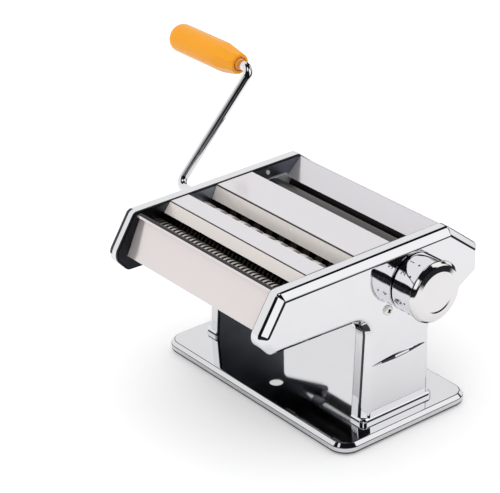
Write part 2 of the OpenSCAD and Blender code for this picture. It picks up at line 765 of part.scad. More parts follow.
// A quarter bend from a run along -X into the arm, or back out of it
module quarter_bend() rotate_extrude(angle = 90) translate([bend_r, 0]) circle(r = rod_r);

module crank_rod() color("silver") translate([0, wide_rear[0], wide_rear[1]]) rotate([-crank_lean, 0, 0]) {
    x_rod([0, 0], rod_r, -crank_x + bend_r, -shaft_end + socket_depth - 1);
    translate([-crank_x + bend_r, 0, bend_r]) rotate([90, 0, 0]) rotate([0, 0, 180]) quarter_bend();
    translate([-crank_x, 0, bend_r]) cylinder(r = rod_r, h = crank_arm - 2 * bend_r);
    translate([-crank_x - bend_r, 0, crank_arm - bend_r]) rotate([90, 0, 0]) quarter_bend();
    x_rod([0, crank_arm], rod_r, -rod_end, -crank_x - bend_r);
}

module grip_washer() color("silver") difference() {
    x_rod(crank_top, washer_r, -washer_face - washer_sheet, -washer_face);
    x_rod(crank_top, rod_r + seat_gap, -washer_face - washer_sheet - 1, -washer_face + 1);
}

module crank_grip() color("orange") translate([-grip_start, crank_top[0], crank_top[1]]) rotate([0, -90, 0])
    difference() {
        rotate_extrude() polygon(concat(
            [[0, 0], [grip_end_r - 1, 0], [grip_end_r, 1], [grip_r, grip_taper]],
            [for (k = [0:9]) [grip_r * cos(10 * k), grip_length - grip_dome * (1 - sin(10 * k))]]));
        translate([0, 0, -1]) cylinder(r = rod_r + run_gap, h = grip_length - grip_wall + 1);
        translate([0, 0, -1]) cylinder(r = recess_r, h = recess_depth + 1);
    }

// ---- Nodes ----

base_plate();
rubber_feet();
inner_frame(-1);  // left_inner_frame
inner_frame(1);  // right_inner_frame
frame_screws();
frame_nuts();
left_side_cover();
right_side_cover();
cover_posts();
cover_screws();
tie_rods();
tie_rod_nuts();
front_apron();
mid_deck();
roller_deck();
rear_guide();
deck_screws();
dough_cheeks();
cheek_screws();
shaft_bushes();
fine_combs();
wide_combs();
drive_scraper();
wide_cutter_drive();
wide_gear_drive();
crank_rod();
grip_washer();
crank_grip();
wide_cutter_mate();
wide_gear_mate();
fine_cutter_drive();
fine_gear_drive();
fine_cutter_mate();
fine_gear_mate();
drive_roller();
drive_roller_shafts();
drive_roller_gear();
adjustable_roller();
adjustable_roller_shafts();
adjustable_roller_gear();
bearing_blocks();
carriage_bar();
adjustable_scraper();
regulator_shaft();
scroll_disc();
regulator_bush();
knob_washer();
knob_screw();
dial();
knob_cap();
knob_spring();
index_pin();
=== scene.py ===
import json
from math import atan2, cos, pi, radians, sin, sqrt

import bmesh
import bpy
from mathutils import Matrix, Vector

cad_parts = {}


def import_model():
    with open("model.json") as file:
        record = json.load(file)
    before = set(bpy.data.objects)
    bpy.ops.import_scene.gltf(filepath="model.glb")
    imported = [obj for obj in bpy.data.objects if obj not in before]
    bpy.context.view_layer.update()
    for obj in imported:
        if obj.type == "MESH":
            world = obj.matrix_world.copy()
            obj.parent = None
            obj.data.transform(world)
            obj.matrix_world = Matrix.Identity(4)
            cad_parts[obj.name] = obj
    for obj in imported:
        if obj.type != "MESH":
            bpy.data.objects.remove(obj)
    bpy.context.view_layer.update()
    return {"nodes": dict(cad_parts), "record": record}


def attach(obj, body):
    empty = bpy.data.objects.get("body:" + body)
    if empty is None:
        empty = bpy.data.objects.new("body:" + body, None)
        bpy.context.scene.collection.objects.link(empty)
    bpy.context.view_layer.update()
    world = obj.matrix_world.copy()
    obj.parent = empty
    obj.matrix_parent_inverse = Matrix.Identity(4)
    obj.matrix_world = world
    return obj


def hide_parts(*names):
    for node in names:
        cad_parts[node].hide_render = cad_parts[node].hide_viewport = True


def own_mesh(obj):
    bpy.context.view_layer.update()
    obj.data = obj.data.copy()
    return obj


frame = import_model()
nodes = frame["nodes"]

MM = 0.001  # every size below is in millimetres

# ---- Driving sizes, the model's own apart from the covers' bevel and the crank's rod, ----
# ---- which follow the photograph ----
BASE_LENGTH, BASE_DEPTH, BASE_TOP, BASE_CORNER, BASE_LIFT = 201, 118, 9, 13, 2
COVER_FACE, SHEET = 87, 1
FLANGE_EDGE, COVER_BEVEL, COVER_BEND, FACE_BEND, HEM = 74, 4.8, 3.7, 3.6, 0.8
HEAD_TOP, HEAD_REAR, LEG_FRONT, LEG_REAR = 133.5, 77.5, -29.7, 33.3
DECK_TOP, DECK_SHEET, DECK_END = 133, 0.8, 73.3
WIDE_REAR, FINE_REAR, ROLLER_REAR = (-23.3, 113.2), (-64.4, 113.6), (51.1, 109.5)
KNOB, DIAL_IN, DIAL_OUT, DIAL_R, CAP_R, CAP_HEIGHT = (15.8, 104.9), 88.5, 106, 21.5, 22.4, 4.5
DIAL_STEP, PULL = 160 / 6, 4.5
CRANK_X, CRANK_ARM, CRANK_LEAN, BEND_R, ROD_R = 128, 100.5, 43.9, 8, 3.5
GRIP_R, GRIP_LENGTH = 11, 79
GRIP_START = CRANK_X + BEND_R + 1
POST, CLAMP_HOLE = (-8.2, 91.5), (3, -37)
JOURNAL_R, BUSH_R = 6, 7
INDEX_REACH = 15


# ---- Materials ----
GRAIN_SCALE = 400
# How a grain's noise is stretched along X, Y and Z
BRUSHED, LONG_BRUSHED, TURNED, FINE, EVEN = (1, 14, 14), (1, 9, 1), (30, 1, 1), (8, 8, 8), (1, 1, 1)


def new_material(name):
    """A material with nodes, its node tree and its shader."""
    material = bpy.data.materials.new(name)
    material.use_nodes = True
    tree = material.node_tree
    return material, tree, tree.nodes["Principled BSDF"]


def noise(tree, scale, detail=2.0, stretch=None):
    """A noise texture in object space, stretched along an axis if asked; returns its Fac socket."""
    place = tree.nodes.new("ShaderNodeTexCoord")
    texture = tree.nodes.new("ShaderNodeTexNoise")
    texture.inputs["Scale"].default_value = scale
    texture.inputs["Detail"].default_value = detail
    if stretch:
        mapping = tree.nodes.new("ShaderNodeMapping")
        mapping.inputs["Scale"].default_value = stretch
        tree.links.new(place.outputs["Object"], mapping.inputs["Vector"])
        tree.links.new(mapping.outputs["Vector"], texture.inputs["Vector"])
    else:
        tree.links.new(place.outputs["Object"], texture.inputs["Vector"])
    return texture.outputs["Fac"]


def spread(tree, fac, low, high):
    """Maps a 0 to 1 value to low to high."""
    node = tree.nodes.new("ShaderNodeMapRange")
    node.inputs["To Min"].default_value = low
    node.inputs["To Max"].default_value = high
    tree.links.new(fac, node.inputs["Value"])
    return node.outputs["Result"]


def tint(tree, fac, dark, light):
    """A colour between dark and light."""
    node = tree.nodes.new("ShaderNodeMix")
    node.data_type = "RGBA"
    node.inputs[6].default_value = (*dark, 1)
    node.inputs[7].default_value = (*light, 1)
    tree.links.new(fac, node.inputs[0])
    return node.outputs[2]


def bump(tree, shader, fac, strength, distance):
    """Raises a shader's surface by a 0 to 1 value."""
    node = tree.nodes.new("ShaderNodeBump")
    node.inputs["Strength"].default_value = strength
    node.inputs["Distance"].default_value = distance
    tree.links.new(fac, node.inputs["Height"])
    tree.links.new(node.outputs["Normal"], shader.inputs["Normal"])


def metal(name, dark, light, rough, wave=0.0, wave_scale=30, grain=None, grain_depth=0.0, body=1):
    """Bare or plated metal: a colour between dark and light, slight smudges in its gloss, and a wavy or
    grained skin. A body below 1 mixes in the even tone of a finely brushed sheet."""
    material, tree, shader = new_material(name)
    shader.inputs["Metallic"].default_value = body
    smudge = noise(tree, 60, 4)
    tree.links.new(tint(tree, smudge, dark, light), shader.inputs["Base Color"])
    tree.links.new(spread(tree, smudge, rough * 0.8, rough * 1.25), shader.inputs["Roughness"])
    if wave:
        bump(tree, shader, noise(tree, wave_scale, 0), wave, 0.001)
    if grain:
        bump(tree, shader, noise(tree, GRAIN_SCALE, 3, grain), grain_depth, 0.0002)
    return material


def cast(material, low, high, strength, place, span, axis):
    """Mixes another tone, between low and high, into a metal over a stretch of one axis, in metres."""
    tree = material.node_tree
    shader = tree.nodes["Principled BSDF"]
    coords = tree.nodes.new("ShaderNodeTexCoord")
    split = tree.nodes.new("ShaderNodeSeparateXYZ")
    tree.links.new(coords.outputs["Object"], split.inputs[0])
    ramp = tree.nodes.new("ShaderNodeMapRange")
    ramp.interpolation_type = "SMOOTHSTEP"
    ramp.inputs["From Min"].default_value = place
    ramp.inputs["From Max"].default_value = place + span
    ramp.inputs["To Max"].default_value = strength
    tree.links.new(split.outputs[axis], ramp.inputs["Value"])
    own = shader.inputs["Base Color"].links[0].from_socket
    mix = tree.nodes.new("ShaderNodeMix")
    mix.data_type = "RGBA"
    tree.links.new(ramp.outputs["Result"], mix.inputs[0])
    tree.links.new(own, mix.inputs[6])
    tree.links.new(tint(tree, noise(tree, 25, 2), low, high), mix.inputs[7])
    tree.links.new(mix.outputs[2], shader.inputs["Base Color"])


def plastic(name, dark, light, rough, coat, scale, depth):
    """Moulded plastic or rubber with a fine skin."""
    material, tree, shader = new_material(name)
    flow = noise(tree, 18, 2)
    tree.links.new(tint(tree, flow, dark, light), shader.inputs["Base Color"])
    tree.links.new(spread(tree, noise(tree, 90, 3), rough * 0.85, rough * 1.2), shader.inputs["Roughness"])
    shader.inputs["Coat Weight"].default_value = coat
    shader.inputs["Coat Roughness"].default_value = 0.06
    bump(tree, shader, noise(tree, scale, 2), depth, 0.0002)
    return material


CHROME = metal("chrome", (0.86, 0.86, 0.88), (0.90, 0.90, 0.92), 0.035, wave=0.02, wave_scale=14)
BASE_CHROME = metal("base_chrome", (0.80, 0.80, 0.82), (0.84, 0.84, 0.86), 0.04, wave=0.03, wave_scale=12)
POLISHED = metal("polished_sheet", (0.80, 0.78, 0.80), (0.83, 0.81, 0.83), 0.16,
                 grain=BRUSHED, grain_depth=0.02, body=0.6)
# Painted reflection: the apron and the deck walls under the decks are tinted warm for the warm things they
# reflect.
WARM_REFLECTION_SHEET = metal("warm_reflection_sheet", (0.83, 0.77, 0.755), (0.86, 0.80, 0.785), 0.16,
                   grain=BRUSHED, grain_depth=0.02, body=0.6)
WALL_SHEET = metal("wall_sheet", (0.88, 0.82, 0.78), (0.92, 0.86, 0.82), 0.25,
                   grain=BRUSHED, grain_depth=0.02, body=0.2)
# Painted dark lines: a near-black steel for thin strips of faces at bends, hems and gaps, standing for painted
# dark reflections and painted shade.
PAINTED_DARK_LINES = metal("painted_dark_line_steel", (0.05, 0.05, 0.055), (0.08, 0.08, 0.085), 0.3, wave=0.02, wave_scale=14)
ROLLER_STEEL = metal("ground_rollers", (0.42, 0.41, 0.40), (0.50, 0.49, 0.48), 0.30,
                     grain=TURNED, grain_depth=0.12)
CUTTER_STEEL = metal("cutter_steel", (0.50, 0.47, 0.43), (0.62, 0.59, 0.55), 0.28,
                     grain=TURNED, grain_depth=0.1)
# Lit and shaded copies of the cutter steel: a painted lit copy for the wide cutter's mate, whose ring tops
# show light, and a near-black painted shade copy for both drive cutters in the slots' shade.
PAINTED_LIT_CUTTER = metal("painted_lit_cutter", (0.80, 0.78, 0.77), (0.86, 0.84, 0.83), 0.3,
                      grain=TURNED, grain_depth=0.1, body=0.4)
SHADED_CUTTER = metal("painted_shade_cutter", (0.012, 0.01, 0.008), (0.022, 0.02, 0.016), 0.4,
                      grain=TURNED, grain_depth=0.1)
# Painted shade: the frame plates are near black for the shade inside the head. A painted blue-grey reflection
# rises from y -80 mm to -50 mm and covers the plates behind, and below 112 to 98 mm high a dim grey tone takes
# over.
SHADED_FRAME_STEEL = metal("frame_sheet", (0.03, 0.03, 0.035), (0.05, 0.05, 0.055), 0.30,
                    grain=LONG_BRUSHED, grain_depth=0.1)
cast(SHADED_FRAME_STEEL, (0.20, 0.22, 0.26), (0.46, 0.50, 0.58), 0.9, -0.080, 0.03, "Y")
cast(SHADED_FRAME_STEEL, (0.06, 0.065, 0.075), (0.12, 0.13, 0.15), 0.95, 0.112, -0.014, "Z")
GUIDE_SHEET = metal("guide_sheet", (0.80, 0.78, 0.81), (0.83, 0.81, 0.84), 0.14,
                    grain=BRUSHED, grain_depth=0.02, body=0.7)
SHAFT_STEEL = metal("shaft_bar", (0.5, 0.5, 0.51), (0.6, 0.6, 0.61), 0.22, grain=TURNED, grain_depth=0.08)
GEAR_STEEL = metal("gear_sinter", (0.32, 0.31, 0.29), (0.42, 0.41, 0.39), 0.42, grain=EVEN, grain_depth=0.3)
FASTENER = metal("fastener_nickel", (0.84, 0.82, 0.79), (0.90, 0.88, 0.85), 0.16,
                 wave=0.05, wave_scale=200, body=0.25)
CAP_CHROME = metal("cap_chrome", (0.86, 0.845, 0.84), (0.90, 0.885, 0.88), 0.06, wave=0.02, wave_scale=14)
DIAL_CHROME = metal("dial_chrome", (0.84, 0.84, 0.87), (0.88, 0.88, 0.91), 0.045, wave=0.35, wave_scale=90)
BRONZE = metal("bush_bronze", (0.50, 0.33, 0.14), (0.62, 0.42, 0.20), 0.35, grain=EVEN, grain_depth=0.25)
# Painted shade: the screws' cross recesses are dark brown.
RECESS = metal("screw_recess_shade", (0.16, 0.10, 0.05), (0.24, 0.15, 0.08), 0.5, grain=EVEN, grain_depth=0.2)
SPRING = metal("spring_wire", (0.36, 0.36, 0.37), (0.45, 0.45, 0.46), 0.25, grain=FINE, grain_depth=0.1)
GRIP = plastic("orange_grip", (0.95, 0.36, 0.004), (0.99, 0.41, 0.008), 0.16, 0.12, 500, 0.02)
GRIP.node_tree.nodes["Principled BSDF"].inputs["Specular IOR Level"].default_value = 0.3
# Painted shade: the grip's washer and the rod's stretch in the grip's mouth take the shaded orange-brown of
# the mouth's inside.
MOUTH_SHADE_STEEL = metal("grip_mouth_shade", (0.58, 0.22, 0.03), (0.70, 0.29, 0.05), 0.4,
                   grain=EVEN, grain_depth=0.1, body=0.3)
RUBBER = plastic("foot_rubber", (0.02, 0.02, 0.02), (0.035, 0.035, 0.035), 0.7, 0.0, 900, 0.3)
INK = plastic("dial_ink", (0.02, 0.02, 0.025), (0.03, 0.03, 0.035), 0.5, 0.0, 900, 0.1)
# Painted shade: dim and near-black copies of the roller steel for the adjustable and drive rollers in the
# shade of their slot.
SHADED_ROLLER = metal("shaded_roller", (0.09, 0.085, 0.08), (0.14, 0.13, 0.125), 0.35,
                      grain=TURNED, grain_depth=0.12)
DEEP_SHADE_ROLLER = metal("deep_shade_roller", (0.02, 0.02, 0.022), (0.035, 0.035, 0.037), 0.4,
                    grain=TURNED, grain_depth=0.12)

SLOT_MATERIALS = {
    "chrome": CHROME, "polished_steel": POLISHED, "roller_steel": ROLLER_STEEL, "frame_steel": SHADED_FRAME_STEEL,
    "shaft_steel": SHAFT_STEEL, "gear_steel": GEAR_STEEL, "fastener_steel": FASTENER, "spring_steel": SPRING,
    "bush_bronze": BRONZE, "foot_rubber": RUBBER, "dial_metal": CHROME, "grip_plastic": GRIP,
}

# Nodes whose material stands for light and shade: painted mouth shade on the grip's washer, painted shade on
# the rollers and drive cutters, painted light on the wide cutter's mate.
NODE_MATERIALS = {
    "grip_washer": MOUTH_SHADE_STEEL, "rear_guide": GUIDE_SHEET,
    "adjustable_roller": SHADED_ROLLER, "drive_roller": DEEP_SHADE_ROLLER,
    "wide_cutter_drive": SHADED_CUTTER, "wide_cutter_mate": PAINTED_LIT_CUTTER,
    "fine_cutter_drive": SHADED_CUTTER, "fine_cutter_mate": CUTTER_STEEL,
}


# ---- Mesh helpers ----
def finish_mesh(name, work, material, body, replaced=(), sharp=35, more=()):
    """Turns a bmesh in millimetres into a piece that rides on a body and stands for the named nodes.
    Edges that turn by more than sharp degrees stay crisp. A face's index 1 and up picks a material of more."""
    bmesh.ops.remove_doubles(work, verts=work.verts, dist=0.0005)
    bmesh.ops.dissolve_degenerate(work, edges=work.edges, dist=0.0005)
    bmesh.ops.recalc_face_normals(work, faces=work.faces)
    bmesh.ops.scale(work, vec=(MM, MM, MM), verts=work.verts)
    for edge in work.edges:
        edge.smooth = not (len(edge.link_faces) == 2 and edge.calc_face_angle(0) > radians(sharp))
    for face in work.faces:
        face.smooth = True
    mesh = bpy.data.meshes.new(name)
    work.to_mesh(mesh)
    work.free()
    mesh.materials.append(material)
    for extra in more:
        mesh.materials.append(extra)
    piece = bpy.data.objects.new(name, mesh)
    bpy.context.scene.collection.objects.link(piece)
    even = piece.modifiers.new("even_normals", "WEIGHTED_NORMAL")
    even.keep_sharp = True
    even.weight = 100
    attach(piece, body)
    if replaced:
        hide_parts(*replaced)
    return piece


def loft(work, rings, close_along=False, close_around=True, skip=()):
    """Quads between rings of points; skip lists the places around a ring that stay open."""
    rows = [[work.verts.new(p) for p in ring] for ring in rings]
    count = len(rows[0])
    for k in range(len(rows) if close_along else len(rows) - 1):
        a, b = rows[k], rows[(k + 1) % len(rows)]
        for i in range(count if close_around else count - 1):
            if i not in skip:
                j = (i + 1) % count
                corners = [a[i], b[i], b[j], a[j]]
                if len({v.co.to_tuple(5) for v in corners}) > 2:
                    work.faces.new(corners)
    return rows


def fill(work, *loops):
    """A flat face inside the first loop of vertices with the other loops as holes."""
    edges = []
    for loop in loops:
        for a, b in zip(loop, loop[1:] + loop[:1]):
            edges.append(work.edges.get((a, b)) or work.edges.new((a, b)))
    bmesh.ops.triangle_fill(work, edges=edges, use_beauty=True, use_dissolve=False)


def unit(v):
    """The vector with length 1."""
    return Vector(v).normalized()


def inward(d):
    """The normal on the left of a direction in a plane: inward on an anticlockwise outline."""
    return Vector((-d[1], d[0]))


def rotated(v, angle):
    """A vector in a plane, turned anticlockwise."""
    return Vector((v[0] * cos(angle) - v[1] * sin(angle), v[0] * sin(angle) + v[1] * cos(angle)))


def rounded_corner(before, corner, after, radius, steps):
    """Points of an arc that rounds a corner of a line drawn in a plane."""
    before, corner, after = Vector(before), Vector(corner), Vector(after)
    d1, d2 = unit(corner - before), unit(after - corner)
    n1, n2 = inward(d1), inward(d2)
    bend = atan2(d1.x * d2.y - d1.y * d2.x, d1.dot(d2))
    way = 1 if bend > 0 else -1
    centre = corner + way * radius * (n1 + n2) / (1 + n1.dot(n2))
    return [centre - way * radius * rotated(n1, bend * k / steps) for k in range(steps + 1)]


def rounded_line(points, steps=5):
    """An open line of (a, b, corner radius) with its inner corners rounded."""
    line = [Vector(points[0][:2])]
    for before, corner, after in zip(points, points[1:], points[2:]):
        if corner[2] > 0:
            line += rounded_corner(before[:2], corner[:2], after[:2], corner[2], steps)
        else:
            line.append(Vector(corner[:2]))
    return line + [Vector(points[-1][:2])]


def inset_outline(corners, inset, steps=10, foot=None):
    """A closed anticlockwise outline moved inward. The corners with no radius stand at the height foot."""
    count, points = len(corners), []
    for i, corner in enumerate(corners):
        before, after = Vector(corners[i - 1][:2]), Vector(corners[(i + 1) % count][:2])
        here = Vector(corner[:2])
        if corner[2] == 0:
            away = before if corners[i - 1][2] else after
            along = unit(here - away)
            side = inward(along) if away == before else -inward(along)
            start = here + side * inset
            points.append(start + along * ((foot - start.y) / along.y))
            continue
        d1, d2 = unit(here - before), unit(after - here)
        n1, n2 = inward(d1), inward(d2)
        bend = atan2(d1.x * d2.y - d1.y * d2.x, d1.dot(d2))
        way = 1 if bend > 0 else -1
        radius = max(0.2, corner[2] - way * inset)
        centre = here + (n1 + n2) / (1 + n1.dot(n2)) * (inset + way * radius)
        points += [centre - way * radius * rotated(n1, bend * k / steps) for k in range(steps + 1)]
    return points


def circle(centre, radius, steps=48):
    """Points round a circle in a plane."""
    angles = [2 * pi * k / steps for k in range(steps)]
    return [Vector((centre[0] + radius * cos(a), centre[1] + radius * sin(a))) for a in angles]


def revolve(work, profile, centre, steps=96, side=1):
    """Revolves (x, radius) points about a line along X, on the right (side 1) or mirrored to the left (-1)."""
    rows = []
    for x, radius in profile:
        if radius < 1e-6:
            rows.append([work.verts.new((side * x, *centre))] * steps)
        else:
            rows.append([work.verts.new((side * x, p.x, p.y)) for p in circle(centre, radius, steps)])
    for a, b in zip(rows, rows[1:]):
        for i in range(steps):
            corners = []
            for v in (a[i], b[i], b[(i + 1) % steps], a[(i + 1) % steps]):
                if v not in corners:
                    corners.append(v)
            if len(corners) > 2:
                work.faces.new(corners)
    return rows


def cad_finish():
    """Gives every CAD node the material of its slot or the one NODE_MATERIALS names for it, smooth round faces
    and crisp edges.
    """
    slot_of = {part["node"]: part["material_slot"] for part in frame["record"]["subparts"]}
    for name, node in nodes.items():
        mesh = node.data
        mesh.materials.clear()
        material = NODE_MATERIALS.get(name, SLOT_MATERIALS[slot_of[name]])
        mesh.materials.append(material)
        work = bmesh.new()
        work.from_mesh(mesh)
        creased = [len(e.link_faces) != 2 or e.calc_face_angle(0) > radians(30) for e in work.edges]
        work.free()
        mesh.polygons.foreach_set("use_smooth", [True] * len(mesh.polygons))
        mesh.polygons.foreach_set("material_index", [0] * len(mesh.polygons))
        for edge, crease in zip(mesh.edges, creased):
            edge.use_edge_sharp = crease


# ---- Base ----
def base_tray():
    """The stamped tray: a short skirt, a narrow bevelled rim and the hole for the clamp. A strip at its hem is
    painted shade for the gap under the skirt, and the rim's two bends carry painted dark reflection lines.
    """
    half_x, half_y = BASE_LENGTH / 2, BASE_DEPTH / 2
    corners = [(-half_x, -half_y, BASE_CORNER), (half_x, -half_y, BASE_CORNER),
               (half_x, half_y, BASE_CORNER), (-half_x, half_y, BASE_CORNER)]
    bevel, bend, hem, hole_r = 2.6, 1.1, 0.25, 5
    outer = rounded_line([(BASE_LIFT, hem, 0), (BASE_LIFT + 1.3, 0, 0.3), (BASE_TOP - bevel, 0, bend),
                          (BASE_TOP, bevel, bend), (BASE_TOP, bevel + 1, 0)], 5)
    inner = [(BASE_TOP - SHEET, bevel + 1.2), (BASE_TOP - SHEET, bevel),
             (BASE_TOP - bevel, SHEET), (BASE_LIFT, SHEET)]
    painted_dark_rows = (0, 8, 9, 10, 14, 15, 16)  # rows of faces painted dark: painted shade at the hem and painted dark reflection lines on the rim's two bends
    work = bmesh.new()
    shell = [loft(work, [[(p.x, p.y, z) for p in inset_outline(corners, inset)] for z, inset in path])
             for path in (outer, inner)]
    loft(work, [[v.co.copy() for v in shell[1][-1]], [v.co.copy() for v in shell[0][0]]])
    rims = [[work.verts.new((p.x, p.y, z)) for p in circle(CLAMP_HOLE, hole_r)]
            for z in (BASE_TOP, BASE_TOP - SHEET)]
    fill(work, shell[0][-1], rims[0])
    fill(work, shell[1][0], rims[1])
    for k in painted_dark_rows:
        row, upper = shell[0][k], set(shell[0][k + 1])
        for a, b in zip(row, row[1:] + row[:1]):
            for face in work.edges.get((a, b)).link_faces:
                if upper & set(face.verts):
                    face.material_index = 1
    loft(work, [[v.co.copy() for v in rim] for rim in rims])
    finish_mesh("base_tray_skin", work, BASE_CHROME, "frame", ["base_plate"], more=(PAINTED_DARK_LINES,))


# ---- Side covers ----
NOSE_FOOT, NOSE_REAR = 105, -96
# (y, z, corner radius), anticlockwise from the foot of the leg's front edge
HEAD_CORNERS = [
    (LEG_FRONT, BASE_TOP, 0), (LEG_REAR, BASE_TOP, 0), (LEG_REAR, HEAD_TOP - 67.5, 9),
    (HEAD_REAR, HEAD_TOP - 41.5, 4.5), (HEAD_REAR, HEAD_TOP - 21.5, 4.5), (HEAD_REAR - 27.2, HEAD_TOP, 6),
    (-98.5, HEAD_TOP, 5), (-117.5, HEAD_TOP - 29.5, 9), (-106, HEAD_TOP - 42.5, 6),
    (LEG_FRONT + 5.1, HEAD_TOP - 45, 13),
]


def side_cover(side, name, holes):
    """A pressed cover: a wide flange inwards, a bevelled bend all round and a flat face with round holes.
    The hem carries a painted shade line, and the left nose's bend and the right leg's front bend carry painted
    dark reflection lines."""
    bevel = COVER_BEVEL
    line_start = COVER_FACE - bevel - 3.2
    outer = rounded_line([(FLANGE_EDGE, HEM + 0.05, 0), (FLANGE_EDGE, 0, HEM), (line_start, 0, 0),
                          (COVER_FACE - bevel, 0, COVER_BEND),
                          (COVER_FACE, bevel, FACE_BEND), (COVER_FACE, bevel + 1.5, 0)], 8)
    tuck = SHEET * (sqrt(2) - 1)
    inner = [Vector((COVER_FACE - SHEET, bevel + 1.5)), Vector((COVER_FACE - SHEET, bevel + tuck)),
             Vector((COVER_FACE - bevel - tuck, SHEET)), Vector((FLANGE_EDGE, SHEET))]
    work = bmesh.new()

    def ring(x, inset):
        return [(side * x, p.x, p.y) for p in inset_outline(HEAD_CORNERS, inset, foot=BASE_TOP)]

    bottom = {0}
    outside = loft(work, [ring(*p) for p in outer], skip=bottom)
    inside = loft(work, [ring(*p) for p in inner], skip=bottom)
    count = len(outside[0])
    for i in range(1, count):
        j = (i + 1) % count
        work.faces.new([outside[0][i], outside[0][j], inside[-1][j], inside[-1][i]])
    for row, x in ((outside[-1], COVER_FACE), (inside[0], COVER_FACE - SHEET)):
        loops = [[work.verts.new((side * x, p.x, p.y)) for p in circle(c, r)] for c, r in holes]
        fill(work, row, *loops)
    for c, r in holes:
        loft(work, [[(side * x, p.x, p.y) for p in circle(c, r)] for x in (COVER_FACE, COVER_FACE - SHEET)])
    bmesh.ops.remove_doubles(work, verts=work.verts, dist=0.0005)
    rim = [e for e in work.edges
           if len(e.link_faces) == 1 and all(abs(v.co.z - BASE_TOP) < 0.001 for v in e.verts)]
    bmesh.ops.triangle_fill(work, edges=rim, use_beauty=True, use_dissolve=False)
    # Painted dark lines: faces on the hem, the left nose's bend and the right leg's front bend take the
    # second, near-black material.
    for face in work.faces:
        middle = face.calc_center_median()
        hem = all(abs(v.co.x) < FLANGE_EDGE + HEM + 0.01 for v in face.verts)
        if side < 0:
            on_nose = middle.z > NOSE_FOOT and middle.y < NOSE_REAR
            strip = on_nose and line_start < abs(middle.x) < COVER_FACE - bevel - 0.5
        else:
            face.normal_update()
            outward = abs(face.normal.x) / max(sqrt(1 - min(1, face.normal.x ** 2)), 0.001)
            widest = 1.05 if 80 < middle.z < 87 else 0.75
            on_leg = LEG_FRONT - 9 < middle.y < LEG_FRONT + 8 and 14 < middle.z < 92
            strip = on_leg and 0.2 < outward < widest
        face.material_index = hem or strip
    finish_mesh(name + "_skin", work, CHROME, "frame", [name], more=(PAINTED_DARK_LINES,))


def side_covers():
    """The left cover with its three crank sockets, and the right cover behind the knob."""
    socket, screw, pin = JOURNAL_R + 0.8, 2.02, 1.52
    sockets = [(place, socket) for place in (WIDE_REAR, FINE_REAR, ROLLER_REAR)]
    side_cover(-1, "left_side_cover", [*sockets, (POST, screw)])
    index_place = (KNOB[0], KNOB[1] - INDEX_REACH)
    side_cover(1, "right_side_cover", [(KNOB, BUSH_R + 0.02), (POST, screw), (index_place, pin)])


def leg_collars():
    """A raised band round the foot of each leg, with a rounded upper edge and a painted dark reflection line
    along the bend of its outer and front sides.
    """
    proud, rise = 1.1, 4.4
    for side, name in ((-1, "left_foot_collar"), (1, "right_foot_collar")):
        corners = [(FLANGE_EDGE + 0.2, LEG_FRONT - proud, 1.2), (COVER_FACE + proud, LEG_FRONT - proud, 4),
                   (COVER_FACE + proud, LEG_REAR + proud, 4), (FLANGE_EDGE + 0.2, LEG_REAR + proud, 1.2)]
        path = rounded_line([(BASE_TOP, 0.1, 0), (BASE_TOP + rise - 1.6, 0.1, 2.6),
                             (BASE_TOP + rise, 1.7, 0.6), (BASE_TOP + rise, 2.4, 0)], 6)
        work = bmesh.new()
        rows = loft(work, [[(side * p.x, p.y, z) for p in inset_outline(corners, inset)]
                           for z, inset in path])
        work.faces.new(rows[0])
        work.faces.new(rows[-1])
        # Painted dark reflection line on the bend of the outer and front sides.
        for face in work.faces:
            middle = face.calc_center_median()
            outer_side = abs(middle.y - (LEG_FRONT + LEG_REAR) / 2) < 1 and abs(middle.x) > COVER_FACE
            front_side = middle.y < LEG_FRONT and abs(middle.x) < COVER_FACE - 3
            face.material_index = (outer_side or front_side) and 1.7 < middle.z - BASE_TOP < 3.1
        finish_mesh(name, work, CHROME, "frame", more=(PAINTED_DARK_LINES,))


# ---- Decks ----
def bent_strip(name, line, replaced, material, wall):
    """A sheet from frame plate to frame plate, whose upper skin follows a line of (y, z, bend radius).
    Its bends carry painted dark reflection lines, and what hangs below the deck has the material wall."""
    skin = rounded_line(line, 8)
    under = []
    for i, p in enumerate(skin):
        along = unit(skin[min(i + 1, len(skin) - 1)] - skin[max(i - 1, 0)])
        under.append(p + inward(along) * DECK_SHEET)
    section = skin + under[::-1]
    work = bmesh.new()
    rows = loft(work, [[(x, p.x, p.y) for p in section] for x in (-DECK_END, DECK_END)])
    work.faces.new(rows[0])
    work.faces.new(rows[1])
    # Faces on the bends take the painted dark lines; faces that hang below the deck take the wall material.
    for face in work.faces:
        if len(face.verts) == 4 and min(e.calc_length() for e in face.edges) < DECK_SHEET / 2:
            face.material_index = 1
        elif len(face.verts) == 4 and face.calc_center_median().z < DECK_TOP - 2:
            face.material_index = 2
    finish_mesh(name, work, material, "frame", [replaced], sharp=40,
                more=(PAINTED_DARK_LINES, wall))


def leg_crease():
    """A shallow pressed rib across the right leg, a long lens with pointed ends, with painted dark reflection
    lines along two stretches of its crown.
    """
    start, end, half, height, sunk = Vector((-22, 53)), Vector((28, 54.2)), 2.1, 0.75, 0.05
    along = unit(end - start)
    work = bmesh.new()
    rings = []
    for k in range(25):
        u = k / 24
        width = half * sin(pi * u) ** 0.8 + 0.02
        middle = start + (end - start) * u
        ring = []
        for i in range(9):
            t = i / 4 - 1
            p = middle + inward(along) * width * t
            ring.append((COVER_FACE - sunk + height * sin(pi * u) ** 0.5 * (1 - t * t), p.x, p.y))
        rings.append(ring)
    loft(work, rings, close_around=False)
    # Painted dark reflection lines on two stretches of the crown.
    for face in work.faces:
        middle = face.calc_center_median()
        u = (middle.y - start.x) / (end.x - start.x)
        crown = abs(middle.z - (start.y + (end.y - start.y) * u)) < half * 0.5
        face.material_index = crown and (0.18 < u < 0.42 or 0.66 < u < 0.97)
    finish_mesh("leg_crease", work, CHROME, "frame", more=(PAINTED_DARK_LINES,))


